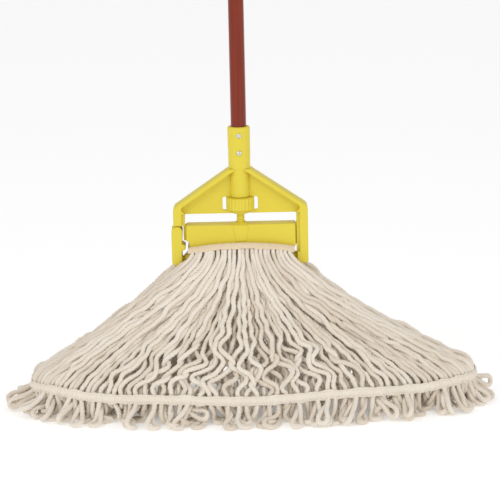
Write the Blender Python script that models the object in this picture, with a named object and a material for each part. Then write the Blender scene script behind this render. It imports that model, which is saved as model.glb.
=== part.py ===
"""Side-gate wet mop: clamp head on a long handle, with a looped cotton string head.

Metres, +Z up, standing on its yarn.  +X is the side away from the gate, -Y is the front.
"""
import math

import bmesh
import bpy
from mathutils import Matrix, Vector

# ---- driving dimensions -------------------------------------------------------------
GAP = 0.0003                 # clearance between touching pieces
SLIDE_GAP = 0.0005           # clearance beside a piece that slides or turns

FRAME_HALF_W = 0.104         # outer half width of the clamp frame
FRAME_HALF_D = 0.0155        # half depth of the perimeter flange
RAIL_INNER = FRAME_HALF_W - 0.0175           # half distance between the rails' inner faces
LIP_X = FRAME_HALF_W - 0.0125                # where the recessed inner lip of a rail starts
LIP_HALF_D = 0.0110
FLANGE_T = 0.0065            # flange thickness along the shoulders
WEB_HALF_T = 0.0025
FRAME_BOTTOM_Z = 0.229
WEB_BOTTOM_Z = 0.3076
CORNER_Z = 0.319
SHOULDER_Z = 0.3785
EDGE_CHAMFER = 0.0012

HANDLE_R = 0.0119
HANDLE_WALL = 0.0020
SOCKET_R = HANDLE_R + 0.0055                 # socket's outer radius at its rim
SOCKET_BASE_R = HANDLE_R + 0.0049
SOCKET_TOP_Z = 0.4435
HANDLE_FLOOR_Z = 0.386
PRODUCT_LENGTH = 1.372       # from the frame's lowest corner to the top of the handle
RIVET_Z = (0.4307, 0.4038)
RIVET_R = 0.0023
RIVET_HEAD_R = 0.0038
RIVET_HEAD_H = 0.0016

SCREW_R = 0.0065
COLUMN_R = SCREW_R + 0.0085
WHEEL_R = 0.0220
WHEEL_FLUTES = 22
WHEEL_FLUTE_DEPTH = 0.0011
WINDOW_HALF_W = WHEEL_R + 0.0052
LEDGE_T = 0.0053
LEDGE_R = SCREW_R + 0.0070
WINDOW_TOP_Z = 0.3335
THREAD_DEPTH = 0.0011
THREAD_PITCH = 0.004
SCREW_TOP_Z = 0.346
CLAMP_TRAVEL = 0.012         # three turns of the wheel

PLATE_TOP_Z = 0.2913
PLATE_BOTTOM_Z = 0.2557
PLATE_HALF_D = 0.0130
PLATE_SIDE_GAP = 0.0020      # main body of the plate to the rails
PLATE_WALL = 0.0028
PLATE_END_HALF_D = 0.0070
GROOVE_DEPTH = 0.0035
BOSS_TOP_HALF = SCREW_R + 0.0060
BOSS_FOOT_HALF = SCREW_R + 0.0020
BOSS_FOOT_Z = 0.268
BOSS_RAISE = 0.0010
COLLAR_H = 0.0025
PIN_R = 0.0015
PIN_Z = 0.278
PIN_HALF_L = BOSS_TOP_HALF + 0.0005

GATE_PIVOT_Z = 0.2815
GATE_R = 0.0085
GATE_PROUD = 0.0035          # how far the gate stands out past the rail
GATE_CHEEK_T = 0.0048
GATE_PIN_R = 0.0020
NUB_LOW_Z = 0.2515
NUB_HIGH_Z = 0.2625
NUB_REACH = 0.0053

BAR_LOW_Z = 0.2305
BAR_HIGH_Z = 0.2440
BAR_HALF_D = 0.0080
TIP_HALF_D = 0.0058
TIP_SHRINK = 0.0032
TIP_REACH = 0.0045

BAND_T = 0.0025              # headband thickness
BAND_HALF_L = RAIL_INNER - 0.0035
BAND_ARCH_Z = 0.2640         # top of the headband's front roll, mid length
BAND_END_Z = 0.2575
BAND_HALF_D = 0.0310
CROWN_GAP = 0.0012            # slack between the headband and the yarn under it

FAN_HALF_W = 0.386
FAN_HALF_D = 0.138
FAN_TOP_Z = 0.2452
FAN_TOP_HALF_W = RAIL_INNER - 0.0025
FAN_TOP_OUT = 0.0310
FAN_TOP_IN = 0.0185
FAN_FOOT_T = 0.0085
FAN_SIDE_ANGLE = math.radians(88.0)
BUNDLES = 6
BUNDLE_GAP = 0.006           # share of a bundle left open on each side
TAIL_BAND_LOW_Z = 0.0330
TAIL_BAND_HIGH_Z = 0.0480
TAIL_BAND_T = 0.0028
TAIL_BAND_RISE = 0.0006

SEGMENTS = 48

RAIL_GATE_Z = PLATE_TOP_Z - GAP              # foot of the rail above the gate
PIVOT_X = -(FRAME_HALF_W + GATE_PROUD - GATE_R)
HANDLE_TOP_Z = FRAME_BOTTOM_Z + PRODUCT_LENGTH
CAP_FLANGE_H = 0.006
LEDGE_TOP_Z = WEB_BOTTOM_Z + LEDGE_T


# ---- helpers --------------------------------------------------------------------------
def clear_file():
    for item in list(bpy.data.objects):
        bpy.data.objects.remove(item, do_unlink=True)


def material(name, colour, roughness, metallic=0.0):
    made = bpy.data.materials.new(name)
    made.use_nodes = True
    shader = made.node_tree.nodes["Principled BSDF"]
    shader.inputs["Base Color"].default_value = (*colour, 1.0)
    shader.inputs["Roughness"].default_value = roughness
    shader.inputs["Metallic"].default_value = metallic
    return made


def add_object(name, bm, mat=None, smooth=True):
    """Turn a bmesh into a named object in the scene."""
    bmesh.ops.recalc_face_normals(bm, faces=bm.faces)
    mesh = bpy.data.meshes.new(name)
    bm.to_mesh(mesh)
    bm.free()
    obj = bpy.data.objects.new(name, mesh)
    bpy.context.collection.objects.link(obj)
    if mat is not None:
        mesh.materials.append(mat)
    if smooth:
        mesh.shade_smooth()
        mesh.set_sharp_from_angle(angle=math.radians(32))
    return obj


def hide_guide(obj):
    obj.hide_render = True
    obj.display_type = "WIRE"
    return obj


def boolean(target, tool, operation):
    step = target.modifiers.new(tool.name, "BOOLEAN")
    step.operation = operation
    step.solver = "EXACT"
    step.object = hide_guide(tool)


def cut(target, *tools):
    for tool in tools:
        boolean(target, tool, "DIFFERENCE")


def weld(target, *tools):
    for tool in tools:
        boolean(target, tool, "UNION")


def round_corners(points, steps=5):
    """Closed outline from (x, z, radius) corners, each rounded by an arc."""
    outline = []
    count = len(points)
    for i, (x, z, radius) in enumerate(points):
        here = Vector((x, z))
        if radius <= 0.0:
            outline.append(here)
            continue
        before = (Vector(points[i - 1][:2]) - here).normalized()
        after = (Vector(points[(i + 1) % count][:2]) - here).normalized()
        half = math.acos(max(-1.0, min(1.0, before.dot(after)))) / 2
        reach = radius / math.tan(half)
        centre = here + (before + after).normalized() * (radius / math.sin(half))
        start = here + before * reach - centre
        end = here + after * reach - centre
        turn = start.angle_signed(end)
        for k in range(steps + 1):
            spun = start.copy()
            spun.rotate(Matrix.Rotation(-turn * k / steps, 2))
            outline.append(centre + spun)
    return outline


def signed_area(outline):
    total = 0.0
    for i, here in enumerate(outline):
        after = outline[(i + 1) % len(outline)]
        total += here.x * after.y - after.x * here.y
    return total / 2


def inset(outline, distance):
    """The same outline moved inward by a small distance."""
    if distance == 0.0:
        return [point.copy() for point in outline]
    side = 1.0 if signed_area(outline) > 0 else -1.0
    moved = []
    count = len(outline)
    for i, here in enumerate(outline):
        into = (here - outline[i - 1]).normalized()
        out = (outline[(i + 1) % count] - here).normalized()
        normal_in = Vector((-into.y, into.x)) * side
        normal_out = Vector((-out.y, out.x)) * side
        middle = (normal_in + normal_out).normalized()
        scale = max(0.35, middle.dot(normal_in))
        moved.append(here + middle * (distance / scale))
    return moved


def loft(rings, closed_ends=True):
    """Bmesh through equal-length closed rings of 3-D points."""
    bm = bmesh.new()
    rows = [[bm.verts.new(point) for point in ring] for ring in rings]
    size = len(rows[0])
    for lower, upper in zip(rows[:-1], rows[1:]):
        for i in range(size):
            j = (i + 1) % size
            bm.faces.new((lower[i], lower[j], upper[j], upper[i]))
    if closed_ends:
        bm.faces.new(list(reversed(rows[0])))
        bm.faces.new(rows[-1])
    return bm


def plate_prism(name, outline, y_low, y_high, mat=None, chamfer=0.0):
    """Prism of an X-Z outline between two depths, with chamfered rims."""
    levels = [(y_low, chamfer), (y_low + chamfer, 0.0), (y_high - chamfer, 0.0), (y_high, chamfer)]
    if chamfer == 0.0:
        levels = [(y_low, 0.0), (y_high, 0.0)]
    rings = []
    for y, shrink in levels:
        rings.append([Vector((p.x, y, p.y)) for p in inset(outline, shrink)])
    return add_object(name, loft(rings), mat)


def box(name, x_span, y_span, z_span, mat=None, chamfer=0.0):
    corners = [(x_span[0], z_span[0]), (x_span[1], z_span[0]), (x_span[1], z_span[1]), (x_span[0], z_span[1])]
    outline = [Vector(corner) for corner in corners]
    return plate_prism(name, outline, y_span[0], y_span[1], mat, chamfer)


def turned(name, profile, mat=None, segments=SEGMENTS, axis="Z", origin=(0.0, 0.0, 0.0)):
    """Solid of revolution.  The profile is (radius, height), closed on the axis."""
    bm = bmesh.new()
    rows = []
    for radius, height in profile:
        if radius == 0.0:
            rows.append([bm.verts.new((0.0, 0.0, height))])
            continue
        ring = []
        for i in range(segments):
            angle = 2 * math.pi * i / segments
            ring.append(bm.verts.new((radius * math.cos(angle), radius * math.sin(angle), height)))
        rows.append(ring)
    closed = len(rows[0]) > 1
    pairs = list(zip(rows, rows[1:] + rows[:1])) if closed else list(zip(rows[:-1], rows[1:]))
    for lower, upper in pairs:
        for i in range(segments):
            j = (i + 1) % segments
            if len(lower) == 1:
                bm.faces.new((lower[0], upper[j], upper[i]))
            elif len(upper) == 1:
                bm.faces.new((lower[i], lower[j], upper[0]))
            else:
                bm.faces.new((lower[i], lower[j], upper[j], upper[i]))
    turn = {"Z": Matrix.Identity(4),
            "Y": Matrix.Rotation(-math.pi / 2, 4, "X"),
            "X": Matrix.Rotation(math.pi / 2, 4, "Y")}[axis]
    bmesh.ops.transform(bm, matrix=Matrix.Translation(origin) @ turn, verts=bm.verts)
    return add_object(name, bm, mat)


def rod_cutter(name, radius, start, end, axis="Z", origin=(0.0, 0.0, 0.0), segments=SEGMENTS):
    profile = [(0.0, start), (radius, start), (radius, end), (0.0, end)]
    return turned(name, profile, segments=segments, axis=axis, origin=origin)


def set_origin(obj, point):
    """Put an object's own origin on a point and keep the mesh where it is."""
    obj.data.transform(Matrix.Translation(-Vector(point)))
    obj.location = point


# ---- frame ------------------------------------------------------------------------------
def shoulder_outline():
    """Outer shape of the moulded frame, from the gate side round to the long rail."""
    return round_corners([
        (-FRAME_HALF_W, RAIL_GATE_Z, 0.0),
        (-FRAME_HALF_W, CORNER_Z, 0.010),
        (-SOCKET_BASE_R, SHOULDER_Z, 0.0),
        (SOCKET_BASE_R, SHOULDER_Z, 0.0),
        (FRAME_HALF_W, CORNER_Z, 0.010),
        (FRAME_HALF_W, FRAME_BOTTOM_Z, 0.004),
        (RAIL_INNER, FRAME_BOTTOM_Z, 0.002),
        (RAIL_INNER, WEB_BOTTOM_Z, 0.0025),
        (-RAIL_INNER, WEB_BOTTOM_Z, 0.0025),
        (-RAIL_INNER, RAIL_GATE_Z, 0.0),
    ])


def recess_outline():
    """The recess inside the flange, above the web's lower edge."""
    slope = math.atan2(SHOULDER_Z - CORNER_Z, FRAME_HALF_W - SOCKET_BASE_R)
    drop = FLANGE_T / math.cos(slope)
    rise_per_x = math.tan(slope)
    side_z = CORNER_Z - drop + (FRAME_HALF_W - LIP_X) * rise_per_x
    mid_x = COLUMN_R * 0.5
    mid_z = CORNER_Z - drop + (FRAME_HALF_W - mid_x) * rise_per_x
    lip_z = WEB_BOTTOM_Z + 0.6 * (side_z - WEB_BOTTOM_Z)
    below = WEB_BOTTOM_Z - 0.006
    return round_corners([
        (-RAIL_INNER, below, 0.0),
        (RAIL_INNER, below, 0.0),
        (RAIL_INNER, lip_z - (LIP_X - RAIL_INNER), 0.0),
        (LIP_X, lip_z, 0.0),
        (LIP_X, side_z, 0.004),
        (mid_x, mid_z, 0.0),
        (-mid_x, mid_z, 0.0),
        (-LIP_X, side_z, 0.004),
        (-LIP_X, lip_z, 0.0),
        (-RAIL_INNER, lip_z - (LIP_X - RAIL_INNER), 0.0),
    ]), lip_z


def tongue_outline():
    """The hinge tongue that hangs from the short rail into the gate."""
    radius = GATE_R - 0.0033
    points = [Vector((PIVOT_X + radius, RAIL_GATE_Z + 0.008)), Vector((PIVOT_X - radius, RAIL_GATE_Z + 0.008))]
    for k in range(13):
        angle = math.pi + math.pi * k / 12
        points.append(Vector((PIVOT_X + radius * math.cos(angle), GATE_PIVOT_Z + radius * math.sin(angle))))
    return points


def build_frame(yellow):
    frame = plate_prism("frame", shoulder_outline(), -FRAME_HALF_D, FRAME_HALF_D, yellow, EDGE_CHAMFER)
    deep = FRAME_HALF_D + 0.005
    recess, lip_z = recess_outline()
    cut(frame,
        plate_prism("cut_recess_front", recess, -deep, -WEB_HALF_T),
        plate_prism("cut_recess_back", recess, WEB_HALF_T, deep))
    lip_top = lip_z - (LIP_X - RAIL_INNER)
    lip_over = RAIL_INNER - 0.002
    for side, low_z in ((1, BAR_HIGH_Z + 0.003), (-1, RAIL_GATE_Z - 0.002)):
        spans = sorted((side * lip_over, side * LIP_X))
        name = "right" if side > 0 else "left"
        cut(frame,
            box("cut_lip_front_" + name, spans, (-deep, -LIP_HALF_D), (low_z, lip_top)),
            box("cut_lip_back_" + name, spans, (LIP_HALF_D, deep), (low_z, lip_top)))
    weld(frame, turned("add_socket", [
        (0.0, WINDOW_TOP_Z), (COLUMN_R - 0.001, WINDOW_TOP_Z), (COLUMN_R, WINDOW_TOP_Z + 0.001),
        (COLUMN_R, SHOULDER_Z - 0.006), (SOCKET_BASE_R, SHOULDER_Z + 0.002),
        (SOCKET_R, SOCKET_TOP_Z - 0.0025), (SOCKET_R - 0.0007, SOCKET_TOP_Z - 0.0007),
        (SOCKET_R - 0.0022, SOCKET_TOP_Z), (0.0, SOCKET_TOP_Z)]))
    window = round_corners([(-WINDOW_HALF_W, LEDGE_TOP_Z, 0.002), (WINDOW_HALF_W, LEDGE_TOP_Z, 0.002),
                            (WINDOW_HALF_W, WINDOW_TOP_Z, 0.003), (-WINDOW_HALF_W, WINDOW_TOP_Z, 0.003)])
    cut(frame, plate_prism("cut_window", window, -deep, deep))
    weld(frame, turned("add_ledge", [(0.0, WEB_BOTTOM_Z), (LEDGE_R - 0.0015, WEB_BOTTOM_Z),
                                     (LEDGE_R, WEB_BOTTOM_Z + 0.0015), (LEDGE_R, LEDGE_TOP_Z - 0.0001),
                                     (0.0, LEDGE_TOP_Z - 0.0001)]))
    weld(frame, plate_prism("add_tongue", tongue_outline(), -(FRAME_HALF_D - GATE_CHEEK_T - SLIDE_GAP),
                            FRAME_HALF_D - GATE_CHEEK_T - SLIDE_GAP, None, 0.0006))
    bar_profile = round_corners([(-BAR_HALF_D, BAR_LOW_Z, 0.003), (BAR_HALF_D, BAR_LOW_Z, 0.003),
                                 (BAR_HALF_D, BAR_HIGH_Z, 0.003), (-BAR_HALF_D, BAR_HIGH_Z, 0.003)])
    middle_z = (BAR_LOW_Z + BAR_HIGH_Z) / 2
    shrink = TIP_SHRINK / (BAR_HIGH_Z - BAR_LOW_Z) * 2
    tip_profile = [Vector((p.x * TIP_HALF_D / BAR_HALF_D, middle_z + (p.y - middle_z) * (1 - shrink)))
                   for p in bar_profile]
    stations = [(RAIL_INNER + 0.006, bar_profile), (-RAIL_INNER, bar_profile),
                (-RAIL_INNER - 0.0015, tip_profile), (-LIP_X - TIP_REACH, tip_profile)]
    rings = [[Vector((x, p.x, p.y)) for p in profile] for x, profile in stations]
    weld(frame, add_object("add_bar", loft(rings)))
    groove = PLATE_END_HALF_D + SLIDE_GAP
    cut(frame,
        box("cut_groove_right", (RAIL_INNER - 0.002, RAIL_INNER + GROOVE_DEPTH), (-groove, groove),
            (BAR_HIGH_Z + 0.004, WEB_BOTTOM_Z - 0.0005)),
        box("cut_groove_left", (-RAIL_INNER - GROOVE_DEPTH, -RAIL_INNER + 0.002), (-groove, groove),
            (RAIL_GATE_Z - 0.004, WEB_BOTTOM_Z - 0.0005)),
        rod_cutter("cut_handle_bore", HANDLE_R + GAP, HANDLE_FLOOR_Z, SOCKET_TOP_Z + 0.01),
        rod_cutter("cut_screw_bore", SCREW_R + SLIDE_GAP, WEB_BOTTOM_Z - 0.005,
                   SCREW_TOP_Z + CLAMP_TRAVEL + 0.004))
    for i, z in enumerate(RIVET_Z):
        cut(frame, rod_cutter("cut_rivet_%d" % i, RIVET_R + GAP, -0.03, 0.03, "Y", (0, 0, z), 24))
    cut(frame, rod_cutter("cut_gate_pin", GATE_PIN_R + GAP, -0.03, 0.03, "Y", (PIVOT_X, 0, GATE_PIVOT_Z), 24))
    return frame


def build_handle(red, black):
    bottom = HANDLE_FLOOR_Z + GAP
    top = HANDLE_TOP_Z - CAP_FLANGE_H
    inner = HANDLE_R - HANDLE_WALL
    tube = turned("handle_tube", [(HANDLE_R, bottom), (HANDLE_R, top), (inner, top), (inner, bottom)], red)
    plug_r = inner - GAP
    plug_top = SOCKET_TOP_Z + 0.02
    plug = turned("handle_plug", [(0.0, bottom + 0.001), (plug_r - 0.001, bottom + 0.001),
                                  (plug_r, bottom + 0.002), (plug_r, plug_top - 0.001),
                                  (plug_r - 0.001, plug_top), (0.0, plug_top)], black)
    for i, z in enumerate(RIVET_Z):
        for body in (tube, plug):
            cut(body, rod_cutter("cut_%s_%d" % (body.name, i), RIVET_R + GAP, -0.03, 0.03, "Y", (0, 0, z), 24))
    cap_r = HANDLE_R + 0.0004
    turned("handle_end_cap", [
        (0.0, top - 0.022), (plug_r - 0.0015, top - 0.022), (plug_r, top - 0.020), (plug_r, top + GAP),
        (cap_r - 0.0005, top + GAP), (cap_r, top + 0.001), (cap_r, HANDLE_TOP_Z - 0.003),
        (cap_r - 0.001, HANDLE_TOP_Z - 0.001), (cap_r - 0.0035, HANDLE_TOP_Z), (0.0, HANDLE_TOP_Z)], black)


def build_rivets(steel):
    seat = SOCKET_R + GAP
    for name, z in zip(("rivet_upper", "rivet_lower"), RIVET_Z):
        profile = [(0.0, -seat - RIVET_HEAD_H), (RIVET_HEAD_R * 0.55, -seat - RIVET_HEAD_H * 0.85),
                   (RIVET_HEAD_R * 0.9, -seat - RIVET_HEAD_H * 0.4), (RIVET_HEAD_R, -seat), (RIVET_R, -seat),
                   (RIVET_R, seat), (RIVET_HEAD_R, seat), (RIVET_HEAD_R * 0.9, seat + RIVET_HEAD_H * 0.4),
                   (RIVET_HEAD_R * 0.55, seat + RIVET_HEAD_H * 0.85), (0.0, seat + RIVET_HEAD_H)]
        turned(name, profile, steel, 24, "Y", (0, 0, z))


# ---- clamp ------------------------------------------------------------------------------
def build_wheel(yellow):
    low = LEDGE_TOP_Z + GAP
    high = WINDOW_TOP_Z - GAP
    bore = SCREW_R + GAP
    edge = 0.0012
    levels = [(bore, low, 0.0), (WHEEL_R - 2.2 * edge, low, 0.0), (WHEEL_R, low + edge, 1.0),
              (WHEEL_R, high - edge, 1.0), (WHEEL_R - 2.2 * edge, high, 0.0), (bore, high, 0.0)]
    per_flute = 8
    count = WHEEL_FLUTES * per_flute
    bm = bmesh.new()
    rows = []
    for radius, z, fluted in levels:
        ring = []
        for i in range(count):
            angle = 2 * math.pi * i / count
            dip = abs(math.cos(math.pi * i / per_flute)) ** 3
            r = radius - fluted * WHEEL_FLUTE_DEPTH * dip
            ring.append(bm.verts.new((r * math.cos(angle), r * math.sin(angle), z)))
        rows.append(ring)
    for lower, upper in zip(rows, rows[1:] + rows[:1]):
        for i in range(count):
            j = (i + 1) % count
            bm.faces.new((lower[i], lower[j], upper[j], upper[i]))
    return add_object("thumb_wheel", bm, yellow)


def build_screw(yellow):
    """Right-hand thread above the plate's boss, plain shank inside it."""
    sides = 20
    per_turn = 6
    start = PLATE_TOP_Z + COLLAR_H + 0.001
    end = SCREW_TOP_Z - 0.002
    rows = int(round((end - start) / THREAD_PITCH * per_turn))
    shank = SCREW_R - GAP
    rings = []
    for z in (BOSS_FOOT_Z + GAP, BOSS_FOOT_Z + 0.001, start - 0.0012):
        r = shank - (0.001 if z == BOSS_FOOT_Z + GAP else 0.0)
        rings.append([(r, z)] * sides)
    for k in range(rows + 1):
        z = start + (end - start) * k / rows
        ring = []
        for i in range(sides):
            phase = (z / THREAD_PITCH - i / sides) % 1.0
            crest = abs(2 * phase - 1)
            ring.append((SCREW_R - THREAD_DEPTH * (1 - crest), z))
        rings.append(ring)
    root = SCREW_R - THREAD_DEPTH
    rings.append([(root - 0.001, SCREW_TOP_Z)] * sides)
    points = []
    for ring in rings:
        row = []
        for i, (r, z) in enumerate(ring):
            angle = 2 * math.pi * i / sides
            row.append(Vector((r * math.cos(angle), r * math.sin(angle), z)))
        points.append(row)
    screw = add_object("clamp_screw", loft(points), yellow)
    cut(screw, rod_cutter("cut_screw_pin", PIN_R + GAP, -0.03, 0.03, "X", (0, 0, PIN_Z), 20))
    return screw


def build_plate(yellow, steel):
    half = RAIL_INNER - PLATE_SIDE_GAP
    notch = 0.0045
    step_z = NUB_HIGH_Z + 0.0035
    outline = round_corners([
        (-half + notch, PLATE_BOTTOM_Z, 0.001), (half, PLATE_BOTTOM_Z, 0.001),
        (half, PLATE_TOP_Z, 0.002), (-half, PLATE_TOP_Z, 0.002),
        (-half, step_z, 0.001), (-half + notch, step_z, 0.001)])
    plate = plate_prism("clamp_plate", outline, -PLATE_HALF_D, PLATE_HALF_D, yellow, 0.0008)
    reach = RAIL_INNER + GROOVE_DEPTH - SLIDE_GAP - GAP
    thick = PLATE_TOP_Z - PLATE_WALL
    for name, spans, low in (("right", (half - 0.004, reach), PLATE_BOTTOM_Z + 0.002),
                             ("left", (-reach + 0.0005, -half + 0.004), step_z + 0.001)):
        weld(plate, box("add_end_" + name, spans, (-PLATE_END_HALF_D, PLATE_END_HALF_D),
                        (low, PLATE_TOP_Z - 0.0005), None, 0.0006))
    hollow_half = half - notch - PLATE_WALL
    hollow_d = PLATE_HALF_D - PLATE_WALL
    cut(plate, box("cut_plate_hollow", (-hollow_half, hollow_half), (-hollow_d, hollow_d),
                   (PLATE_BOTTOM_Z - 0.005, thick)))
    boss = [Vector((-BOSS_FOOT_HALF, BOSS_FOOT_Z - 0.003)), Vector((BOSS_FOOT_HALF, BOSS_FOOT_Z - 0.003)),
            Vector((BOSS_TOP_HALF, PLATE_TOP_Z - 0.0008)), Vector((-BOSS_TOP_HALF, PLATE_TOP_Z - 0.0008))]
    depth = PLATE_HALF_D + BOSS_RAISE
    weld(plate, plate_prism("add_boss", boss, -depth, depth, None, 0.0008))
    weld(plate, turned("add_collar", [(0.0, PLATE_TOP_Z - 0.003), (BOSS_TOP_HALF - 0.0005, PLATE_TOP_Z - 0.003),
                                      (BOSS_TOP_HALF - 0.0005, PLATE_TOP_Z + 0.0003),
                                      (SCREW_R + 0.0025, PLATE_TOP_Z + COLLAR_H),
                                      (0.0, PLATE_TOP_Z + COLLAR_H)]))
    cut(plate,
        rod_cutter("cut_boss_bore", SCREW_R, BOSS_FOOT_Z, PLATE_TOP_Z + 0.01),
        rod_cutter("cut_boss_pin", PIN_R + GAP, -PIN_HALF_L - 0.0005, PIN_HALF_L + 0.0005, "X", (0, 0, PIN_Z), 20))
    pin = [(0.0, -PIN_HALF_L), (PIN_R - 0.0003, -PIN_HALF_L), (PIN_R, -PIN_HALF_L + 0.0003),
           (PIN_R, PIN_HALF_L - 0.0003), (PIN_R - 0.0003, PIN_HALF_L), (0.0, PIN_HALF_L)]
    turned("screw_pin", pin, steel, 20, "X", (0, 0, PIN_Z))
    return plate


# ---- gate -------------------------------------------------------------------------------
def build_gate(yellow, steel):
    outer = -(FRAME_HALF_W + GATE_PROUD)
    inner = -LIP_X
    points = [Vector((outer, FRAME_BOTTOM_Z + 0.004)), Vector((outer + 0.004, FRAME_BOTTOM_Z)),
              Vector((inner - 0.002, FRAME_BOTTOM_Z)), Vector((inner, FRAME_BOTTOM_Z + 0.002)),
              Vector((inner, NUB_LOW_Z)), Vector((inner + NUB_REACH, NUB_LOW_Z + 0.003)),
              Vector((inner + NUB_REACH, NUB_HIGH_Z - 0.003)), Vector((inner, NUB_HIGH_Z))]
    for k in range(17):
        angle = math.pi * k / 16
        points.append(Vector((PIVOT_X + GATE_R * math.cos(angle), GATE_PIVOT_Z + GATE_R * math.sin(angle))))
    gate = plate_prism("side_gate", points, -FRAME_HALF_D, FRAME_HALF_D, yellow, EDGE_CHAMFER)
    slot = FRAME_HALF_D - GATE_CHEEK_T
    wall = outer + GATE_R - (GATE_R - 0.003)
    above = GATE_PIVOT_Z + GATE_R + 0.005
    hollow = [Vector((outer - 0.005, GATE_PIVOT_Z - 0.008)), Vector((wall, GATE_PIVOT_Z - 0.008)),
              Vector((wall, GATE_PIVOT_Z - 0.0135)), Vector((inner + 0.012, GATE_PIVOT_Z - 0.0135)),
              Vector((inner + 0.012, above)), Vector((outer - 0.005, above))]
    cut(gate, plate_prism("cut_gate_slot", hollow, -slot, slot))
    tip = TIP_HALF_D + 0.0008
    middle = (BAR_LOW_Z + BAR_HIGH_Z) / 2
    half_tip = (BAR_HIGH_Z - BAR_LOW_Z) / 2 - TIP_SHRINK
    cut(gate, box("cut_gate_pocket", (inner - TIP_REACH - 0.0015, inner + 0.003), (-tip, tip),
                  (middle - half_tip - 0.001, middle + half_tip + 0.002)))
    skin = 0.0016
    cut(gate, rod_cutter("cut_gate_hole", GATE_PIN_R + GAP, -FRAME_HALF_D + skin, 0.03, "Y",
                         (PIVOT_X, 0, GATE_PIVOT_Z), 24))
    set_origin(gate, (PIVOT_X, 0.0, GATE_PIVOT_Z))
    turned("gate_pin", [(0.0, -FRAME_HALF_D + skin + GAP), (GATE_PIN_R - 0.0004, -FRAME_HALF_D + skin + GAP),
                        (GATE_PIN_R, -FRAME_HALF_D + skin + GAP + 0.0004), (GATE_PIN_R, FRAME_HALF_D - 0.0006),
                        (GATE_PIN_R - 0.0004, FRAME_HALF_D - 0.0002), (0.0, FRAME_HALF_D - 0.0002)],
           steel, 24, "Y", (PIVOT_X, 0, GATE_PIVOT_Z))
    return gate


# ---- mop head ---------------------------------------------------------------------------
def band_top(x):
    """Height of the headband's rolls along the clamp."""
    share = min(1.0, abs(x) / BAND_HALF_L)
    return BAND_END_Z + (BAND_ARCH_Z - BAND_END_Z) * (1 - share ** 2)


def band_profile(x, thick):
    """Front half of the headband's section, outer surface then inner, from the middle out."""
    flat_z = PLATE_BOTTOM_Z - GAP
    wall = PLATE_HALF_D + BOSS_RAISE + SLIDE_GAP
    top = band_top(x)
    outer = [(0.0, flat_z), (wall - 0.0015, flat_z), (wall, flat_z + 0.0015), (wall, top - 0.0025),
             (wall + 0.0025, top), (wall + 0.0065, top), (wall + 0.0115, top - 0.0035),
             (BAND_HALF_D, FAN_TOP_Z + 0.004)]
    inner = [(BAND_HALF_D - thick, FAN_TOP_Z + 0.004), (wall + 0.0105, top - 0.0035 - thick),
             (wall + 0.0065, top - thick), (wall + 0.0030, top - thick),
             (wall + thick * 0.8, top - 0.0035 - thick), (wall - 0.0005, flat_z - thick), (0.0, flat_z - thick)]
    return outer, inner


def build_headband(cotton):
    rings = []
    stations = 17
    for k in range(stations):
        x = -BAND_HALF_L + 2 * BAND_HALF_L * k / (stations - 1)
        outer, inner = band_profile(x, BAND_T)
        ring = [Vector((x, -y, z)) for y, z in reversed(outer)]
        ring += [Vector((x, y, z)) for y, z in outer[1:]]
        ring += [Vector((x, y, z)) for y, z in inner]
        ring += [Vector((x, -y, z)) for y, z in reversed(inner[:-1])]
        rings.append(ring)
    return add_object("headband", loft(rings), cotton)


def build_crown(yarn):
    """The yarn where it passes over the bar, under the headband."""
    rings = []
    stations = 17
    leg = FAN_TOP_Z + GAP
    leg_in = BAR_HALF_D + GAP
    for k in range(stations):
        x = -BAND_HALF_L + 2 * BAND_HALF_L * k / (stations - 1)
        _, inner = band_profile(x, BAND_T + CROWN_GAP)
        ring = [Vector((x, -y, z)) for y, z in inner]
        ring += [Vector((x, y, z)) for y, z in list(reversed(inner))[1:]]
        ring += [Vector((x, BAND_HALF_D - BAND_T - CROWN_GAP, leg)), Vector((x, leg_in, leg))]
        ring += [Vector((x, leg_in - 0.002, BAR_HIGH_Z + GAP + 0.001)),
                 Vector((x, -leg_in + 0.002, BAR_HIGH_Z + GAP + 0.001))]
        ring += [Vector((x, -leg_in, leg)), Vector((x, -BAND_HALF_D + BAND_T + CROWN_GAP, leg))]
        rings.append(ring)
    return add_object("yarn_crown", loft(rings), yarn)


def fan_point(s, t, outer, side):
    """Point on the spread yarn: s across the clamp (-1..1), t from clamp (0) to floor (1)."""
    depth = FAN_TOP_OUT if outer else FAN_TOP_IN
    trim = 0.0 if outer else FAN_FOOT_T
    angle = s * FAN_SIDE_ANGLE
    top_x, top_y = FAN_TOP_HALF_W * s, depth
    foot_x, foot_y = (FAN_HALF_W - trim) * math.sin(angle), (FAN_HALF_D - trim) * math.cos(angle)
    x = top_x + (foot_x - top_x) * t
    y = top_y + (foot_y - top_y) * t
    return Vector((x, side * y, FAN_TOP_Z * (1 - t)))


def build_bundle(name, s_low, s_high, side, yarn):
    """One sewn group of yarn as a curved slab, flat where it stands on the floor."""
    across = 6
    down = 10
    rings = []
    for k in range(down + 1):
        t = k / down
        ring = []
        for i in range(across + 1):
            ring.append(fan_point(s_low + (s_high - s_low) * i / across, t, True, side))
        for i in range(across, -1, -1):
            ring.append(fan_point(s_low + (s_high - s_low) * i / across, t, False, side))
        rings.append(ring)
    return add_object(name, loft(rings), yarn)


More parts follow.
